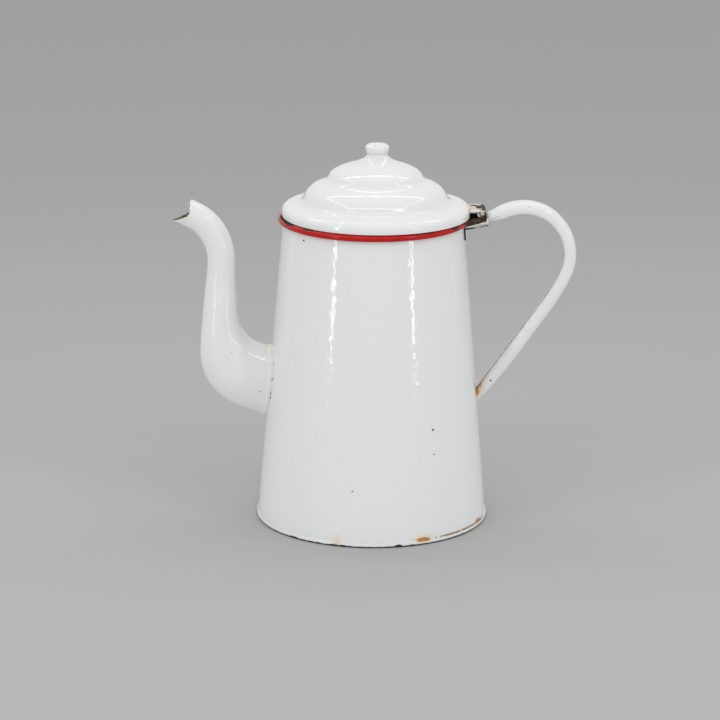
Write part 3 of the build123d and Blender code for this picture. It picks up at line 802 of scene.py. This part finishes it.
top_x, top_z, crest_radius, rise = 102.78, 223.0, 38, 26.2
crest = (
    top_x - crest_radius * math.sin(math.radians(rise)),
    top_z - crest_radius * (1 - math.cos(math.radians(rise))), rise,
)
strap_line = [crest]
for radius, sweep in ((crest_radius, rise), (35, 40.8), (37.75, 73.85), (150, 10.4)):
    strap_line += arc_steps(*strap_line[-1], radius, sweep)
leg_x, leg_z, leg_heading = strap_line[-1]
way_x, way_z = math.cos(math.radians(leg_heading)), math.sin(math.radians(leg_heading))
leg_run, leg_steps = 44, 22
for i in range(1, leg_steps + 1):
    reach = leg_run * i / leg_steps
    strap_line.append((leg_x + reach * way_x, leg_z + reach * way_z, leg_heading))
print("handle line", len(strap_line), "stations, ends at", [round(v, 1) for v in strap_line[-1]])

# %% Handle stations
start_x, start_z, start_depth, start_width = 78.12, 214.5, 5.3, 12.2
start_rise_share, start_steps = 0.35, 8
full_depth, full_width = 8.2, 14.0
foot_run, foot_inset, foot_width, foot_steps = 43.0, 3.3, 10.5, 22
stations = []
for i in range(start_steps):
    t = i / start_steps
    stations.append((
        start_x + (crest[0] - start_x) * t, start_z + (crest[1] - start_z) * t,
        rise * (start_rise_share + (1 - start_rise_share) * t),
        start_depth + (full_depth - start_depth) * t, start_width + (full_width - start_width) * t,
    ))
stations += [(x, z, heading, full_depth, full_width) for x, z, heading in strap_line]
end_x, end_z, _ = strap_line[-1]
for i in range(1, foot_steps + 1):
    t = i / foot_steps
    inset = foot_inset * t ** 2
    stations.append((
        end_x + foot_run * t * way_x + inset * way_z, end_z + foot_run * t * way_z - inset * way_x,
        leg_heading, full_depth - inset, full_width - (full_width - foot_width) * t,
    ))


def strap_section(depth, width):
    """The open line of the strap's outside: lip, side, crown, side, lip."""
    crown, edge, slot = depth * 0.55, min(2.2, depth * 0.4), width * 0.08
    half = width / 2
    side = [(slot, -depth)]
    for a in np.linspace(0, math.pi / 2, 6):
        side.append((half - edge + edge * math.sin(a), -depth + edge - edge * math.cos(a)))
    for a in np.linspace(0, math.pi / 2, 9):
        side.append((half - crown + crown * math.cos(a), -crown + crown * math.sin(a)))
    side.append((0.25 * half, 0.0))
    return side + [(-u, v) for u, v in reversed(side)]


def strap_row(station):
    """The section's points in space at one station."""
    x, z, heading, depth, width = station
    s, c = math.sin(math.radians(heading)), math.cos(math.radians(heading))
    return [Vector((x - v * s, u, z + v * c)) * MM for u, v in strap_section(depth, width)]


# %% Handle
strap_sheet = 1.0
strap_mesh = bmesh.new()
row = [strap_mesh.verts.new(point) for point in strap_row(stations[0])]
edges = [strap_mesh.edges.new(pair) for pair in zip(row, row[1:])]
for station in stations[1:]:
    grown = bmesh.ops.extrude_edge_only(strap_mesh, edges=edges)["geom"]
    fresh = {part for part in grown if isinstance(part, bmesh.types.BMVert)} - set(row)
    row = [
        next(e.other_vert(vert) for e in vert.link_edges if e.other_vert(vert) in fresh) for vert in row
    ]
    for vert, point in zip(row, strap_row(station)):
        vert.co = point
    grown_edges = [part for part in grown if isinstance(part, bmesh.types.BMEdge)]
    edges = [edge for edge in grown_edges if fresh.issuperset(edge.verts)]
bmesh.ops.recalc_face_normals(strap_mesh, faces=strap_mesh.faces)
loop_middle, bend_x = Vector((0.09, 0, 0.16)), 0.13
bend_faces = [f for f in strap_mesh.faces if f.calc_center_median().x > bend_x]
if sum(f.normal.dot(f.calc_center_median() - loop_middle) for f in bend_faces) < 0:
    bmesh.ops.reverse_faces(strap_mesh, faces=strap_mesh.faces)
thicken(strap_mesh, strap_sheet)

handle_finish = white_enamel(
    "white enamel of the handle",
    chips=[((81.6, -6, 97.5), (0.6, 1.5, 0.6)), ((128, -5, 207), (0.5, 1, 0.5))],
    stains=[((72.0, 0, 90), (4.5, 9, 6), 0.8, rust_stain), ((76.5, 0, 97), (3, 9, 5), 0.4, rust_stain)],
    rusts=[((71.2, -2, 89.0), (2.2, 6, 5.0)), ((74.2, -3.0, 95.5), (1.2, 4, 3.6))],
    ripple=0.7,
)
# Painted shade: a thin dark line along the crease where the flattened end of the strap turns into its
# full section.
fold_shade_line = beside_line(handle_finish, (78.0, 209.7), (84.6, 213.4), 0.2)
handle_finish.paint(handle_finish.math("MULTIPLY", fold_shade_line, 0.7), (0.16, 0.14, 0.13))
seam = handle_finish.marked("seam")
broken_seam = handle_finish.math("MULTIPLY_ADD", handle_finish.noise(3.2, 3, 8), -0.9, seam)
seam_mark = handle_finish.math("MULTIPLY", handle_finish.fade(broken_seam, 0.1, 0.45), 0.6)
handle_finish.paint(seam_mark, (0.22, 0.15, 0.095))
handle_piece = piece(
    "handle", strap_mesh, "pot", ["handle_strap"], "white_enamel", handle_finish, sharp=60,
)
low, high, into_wall = 40, 150, 0.3
inside_wall = [
    (0, low), (wall_radius(low) - into_wall, low), (wall_radius(high) - into_wall, high), (0, high),
]
cut_away(handle_piece, spun(inside_wall))
print("handle cut off at the wall", len(handle_piece.data.polygons), "faces")

# %% Mark the gap between the folded edges
gap_half, crown_depth = 1.9, 4.2
crown_line = np.array([(x, z) for x, z, *rest in stations])
corners = np.array([vert.co[:] for vert in handle_piece.data.vertices]) / MM
from_crown = np.array([np.hypot(*(crown_line - corner).T).min() for corner in corners[:, [0, 2]]])
closeness = np.clip(gap_half - np.abs(corners[:, 1]), 0, 1) * (from_crown > crown_depth)
layer = handle_piece.data.attributes.new("seam", "FLOAT", "POINT")
layer.data.foreach_set("value", closeness)
print("points beside the gap", int((closeness > 0).sum()))

# %% [markdown]
# The hinge is the pot's weak place. Its bracket under the rim has lost nearly all its
# enamel and rusted dark, while the leaf that comes out of the lid keeps flakes of yellowed
# enamel. Both are small folded plates, so a copy of the measured solid with its edges
# rounded is closer to the truth than anything drawn afresh.

# %% Hinge plates
nearly_flat, fold_angle = math.radians(4), math.radians(35)


def worn_plate(node, round_off, **placing):
    """A copy of a measured plate with its folds and edges rounded off."""
    mesh = bmesh.new()
    mesh.from_mesh(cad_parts[node].data)
    bmesh.ops.remove_doubles(mesh, verts=mesh.verts, dist=1e-6)
    bmesh.ops.dissolve_limit(mesh, angle_limit=nearly_flat, verts=mesh.verts, edges=mesh.edges)
    folds = [e for e in mesh.edges if len(e.link_faces) == 2 and e.calc_face_angle(0) > fold_angle]
    bmesh.ops.bevel(
        mesh, geom=folds, offset=round_off * MM, offset_type="OFFSET", segments=2, profile=0.5,
        affect="EDGES", clamp_overlap=True, material=-1,
    )
    bmesh.ops.recalc_face_normals(mesh, faces=mesh.faces)
    return piece(mesh=mesh, stands_for=[node], **placing)


# %% [markdown]
# The bracket keeps its white on the part that lies on the wall, along its sloping lower
# edge and on its outer end. The light band along the lower edge also works as a painted
# highlight on the fold, and the enamel below it is painted grey as shade. The rest is rust
# in two shades, with black holes under it.

# %% Bracket
rusty = Finish("rusted bracket", (0.030, 0.018, 0.011), 0.8)
rusty.paint(rusty.fade(rusty.noise(1.5, 4, 2), 0.52, 0.66), (0.115, 0.062, 0.030))
rusty.paint(rusty.fade(rusty.noise(1.0, 3, 7), 0.56, 0.62), (0.010, 0.008, 0.007))
sloping = rusty.math("MULTIPLY_ADD", rusty.along("X"), -0.285, rusty.height())
ragged = rusty.math("MULTIPLY_ADD", rusty.noise(2.2, 3, 5), 1.4, sloping)
# The light band along the sloping lower edge is kept enamel, and its light line is also a painted
# highlight on the fold.
enamel_and_fold_highlight = rusty.fade(ragged, 189.45, 189.3)
rusty.paint(enamel_and_fold_highlight, (0.66, 0.645, 0.61))
# Painted shade: the enamel below that band is painted grey, as it lies in the bracket's shadow.
rusty.paint(rusty.fade(ragged, 188.5, 187.9), (0.36, 0.355, 0.35))
outwards = rusty.math("MULTIPLY_ADD", rusty.noise(1.8, 2, 3), -0.6, rusty.along("X"))
rusty.paint(rusty.fade(outwards, 76.5, 76.6), (0.62, 0.615, 0.60))
on_wall = rusty.both(rusty.fade(rusty.along("X"), 66, 65.6), rusty.fade(rusty.height(), 206.4, 205.8))
rusty.paint(on_wall, white)
plate_side = rusty.fade(rusty.math("ABSOLUTE", rusty.along("Y")), 9.6, 9.9)
rusty.paint(rusty.both(on_wall, plate_side), (0.04, 0.025, 0.018))
under_chips = rusty.either([
    rusty.patch((67.6, -10, 205.4), (2.7, 3, 0.9), 0.5, 0.2, 1.5),
    rusty.patch((74.2, -10, 206.7), (1.7, 3, 0.5), 0.5, 0.2, 1.5),
    rusty.patch((77.3, -9, 207.8), (1.6, 3, 0.45), 0.5, 0.2, 1.5),
    rusty.patch((71, 5, 205.6), (4, 5, 1.2), 0.6, 0.2, 1.5),
])
rusty.paint(under_chips, (0.006, 0.005, 0.005))
rusty.roughen(rusty.either([enamel_and_fold_highlight, on_wall]), 0.8, 0.3)
rusty.relief([(rusty.noise(1.3, 4, 3), 0.45)])
worn_plate("hinge_bracket", 0.35, name="bracket", body="pot", material_slot="rusted_steel", finish=rusty)

# %% [markdown]
# The leaf is a tongue that comes out of the lid and curls round the pin. It keeps cream
# enamel with paler flakes at both sides, has a grey patch next to the pin, and shows bare
# iron at its corners and round the barrel.

# %% Leaf
flaking = Finish("flaking enamel", (0.56, 0.50, 0.36), 0.3)
flaking.paint(flaking.patch((68.5, 8.8, 218), (5.5, 2.4, 3), 0.5, 0.3, 2), (0.78, 0.75, 0.68))
flaking.paint(flaking.patch((73.2, 3, 218), (2.6, 5.5, 3), 0.5, 0.3, 2), (0.13, 0.12, 0.115))
flaking.paint(flaking.patch((69.8, -9.5, 217.4), (4.4, 1.7, 1.5), 0.5, 0.3, 2), (0.80, 0.775, 0.73))
end_face = flaking.fade(flaking.along("Y"), -9.6, -9.8)
end_side = flaking.both(end_face, flaking.fade(flaking.height(), 217.1, 216.7))
outer_half = flaking.fade(flaking.along("X"), 73.4, 73.9)
barrel = flaking.both(outer_half, flaking.fade(flaking.along("Y"), -9.2, -8.4))
leaf_worn = flaking.either([
    flaking.patch((68.6, 5.6, 218.2), (2.7, 1.9, 3), 0.7, 0.2, 1.8),
    flaking.patch((71.2, 2.2, 218.2), (1.5, 1.5, 3), 0.7, 0.2, 1.8),
    flaking.patch((72.8, -8.9, 217.9), (1.6, 1.1, 1.5), 0.6, 0.2, 1.5),
    barrel, end_side,
    flaking.fade(flaking.noise(1.9, 3, 6), 0.63, 0.66),
    flaking.fade(flaking.height(), 213.4, 213.0),
])
flaking.paint(leaf_worn, (0.022, 0.016, 0.013))
flaking.paint(flaking.patch((72.2, -10, 215.0), (1.7, 1.2, 1.1), 0.6, 0.3, 1.2), (0.70, 0.66, 0.60))
flaking.roughen(leaf_worn, 0.25, 0.75)
flaking.relief([(flaking.math("MULTIPLY", leaf_worn, -1), 0.3), (flaking.noise(1.2, 3, 1), 0.15)])
worn_plate("lid_hinge_leaf", 0.3, name="leaf", body="lid", material_slot="chipped_enamel", finish=flaking)

# %% [markdown]
# The pin is a short iron wire, and only its two peened heads show. Its outline is spun as
# an upright rod with a head at each end, then turned to lie across the pot.

# %% Hinge pin
hinge_x, hinge_z = 73.5, 215.4
pin_outline = [(0, -11.15), (1.0, -11.1), (1.6, -10.85), (1.85, -10.5), (1.8, -10.32), (1.25, -10.3)]
pin_outline += [(r, -z) for r, z in reversed(pin_outline)]
pin_mesh = spun(pin_outline, closed=False, steps=32)
lie_down = Matrix.Rotation(math.pi / 2, 3, "X")
bmesh.ops.rotate(pin_mesh, verts=pin_mesh.verts, cent=(0, 0, 0), matrix=lie_down)
bmesh.ops.translate(pin_mesh, verts=pin_mesh.verts, vec=(hinge_x * MM, 0, hinge_z * MM))
iron = Finish("worn iron pin", (0.50, 0.46, 0.40), 0.45)
pin_worn = iron.either([
    iron.patch((75.0, -11, 214.6), (0.9, 1.5, 0.9), 0.4, 0.3, 1),
    iron.fade(iron.noise(1.1, 3, 3), 0.52, 0.58),
])
iron.paint(pin_worn, (0.03, 0.02, 0.015))
iron.relief([(iron.noise(0.9, 3, 1), 0.12)])
piece("pin", pin_mesh, "pot", ["hinge_pin"], "rusted_steel", iron)

# %% [markdown]
# The lid is one pressing: a turned-down brim, a low dome, a smaller dome on it and a short
# neck. The outline is a smooth curve through measured points, spun round the lid's own
# axis, which the worn hinge holds a little towards the handle. The domes were pressed a
# hair off the middle towards the spout, and the neck leans the other way.

# %% Lid
lid_x = 1.65
knob_shift = 0.6
lid_outline = flowing([
    (64.25, 213.0), (64.4, 214.6), (64.25, 216.7), (63.15, 218.8), (61.5, 220.0), (58.9, 220.85),
    (55.6, 221.65), (52.8, 222.3), (51.1, 222.95), (50.0, 224.05), (49.2, 225.45), (48.55, 226.75),
    (47.85, 227.95), (47.1, 229.1), (45.7, 230.75), (43.1, 232.9), (40.4, 234.35), (37.4, 235.65),
    (35.7, 236.45), (34.35, 237.3), (33.25, 238.35), (32.35, 239.55), (31.55, 240.9), (30.5, 242.25),
    (28.1, 244.05), (23.9, 246.05), (19.4, 247.65), (15.0, 249.1), (11.6, 250.6), (8.8, 252.4),
    (7.2, 254.1), (6.9, 255.9),
], 0.7)
lid_mesh = spun(lid_outline, closed=False, axis_x=lid_x)
shift_heights = (222, 227, 242, 248.5, 252)
shifts = (0, -0.35, -0.35, 0, knob_shift)
for vert in lid_mesh.verts:
    vert.co.x += np.interp(vert.co.z / MM, shift_heights, shifts) * MM
faces_out(lid_mesh, (lid_x, 0, 200))
thicken(lid_mesh, wall)
lid_finish = white_enamel(
    "white enamel of the lid",
    chips=[((66.0, -9.5, 216.8), (1.0, 1.6, 1.0)), ((65, 8, 217.5), (1.2, 2, 1.2))],
    stains=[((64.5, 0, 218.5), (3.6, 11, 4), 0.6, yellowed)],
    pit_share=0.05, ripple=0.35,
)
lid_piece = piece("lid", lid_mesh, "lid", ["lid_shell"], "white_enamel", lid_finish, sharp=50)
notch_width = 20.6
cut_away(lid_piece, block((67.5, 0, 213.9), (8.3, notch_width, 9.1)))
print("lid with its notch", len(lid_piece.data.polygons), "faces")

# %% [markdown]
# The knob is a small hollow pressing, crimped on the neck. Its outside is a smooth curve;
# its inside is a few straight steps, because it is closed off from view.

# %% Knob
knob_outside = flowing([
    (7.0, 255.45), (7.3, 255.85), (7.85, 257.0), (8.2, 258.7), (8.0, 260.0), (7.15, 261.1), (5.3, 261.85),
    (2.7, 262.3), (0.0, 262.5),
], 0.35)
knob_outside[-1] = (0.0, 262.5)
knob_inside = [(0.0, 261.4), (3.0, 261.2), (5.3, 260.4), (6.8, 259.2), (7.05, 258.3)]
knob_mesh = spun(knob_outside + knob_inside, axis_x=lid_x + knob_shift, steps=96)
knob_finish = white_enamel(
    "white enamel of the knob", chips=[((1.0, -6.2, 261.2), (0.5, 0.6, 0.35))],
    pit_share=0.03, ripple=0.35,
)
piece("knob", knob_mesh, "lid", ["lid_knob"], "white_enamel", knob_finish)

# %% [markdown]
# Under the brim a plain ring keeps the lid on the pot. It is seen only when the lid is
# open, with the notch that lets the leaf of the hinge through.

# %% Locating ring
ring_outline = [
    (56.75, 206.55), (57.35, 211.5), (57.5, 213.0), (57.5, 219.35), (56.5, 219.6), (56.5, 213.0),
    (56.3, 211.4), (55.75, 206.6), (56.2, 206.45),
]
ring_finish = white_enamel("white enamel of the ring", pit_share=0.1, ripple=0.4)
ring_mesh = spun(ring_outline, axis_x=lid_x)
ring_piece = piece("locating_ring", ring_mesh, "lid", ["lid_collar"], "white_enamel", ring_finish)
cut_away(ring_piece, block((59.2, 0, 219.3), (8.4, notch_width, 4.8)))
print("ring with its notch", len(ring_piece.data.polygons), "faces")

# %% [markdown]
# Last, the scene is brought up to date.

# %% Finish
bpy.context.view_layer.update()
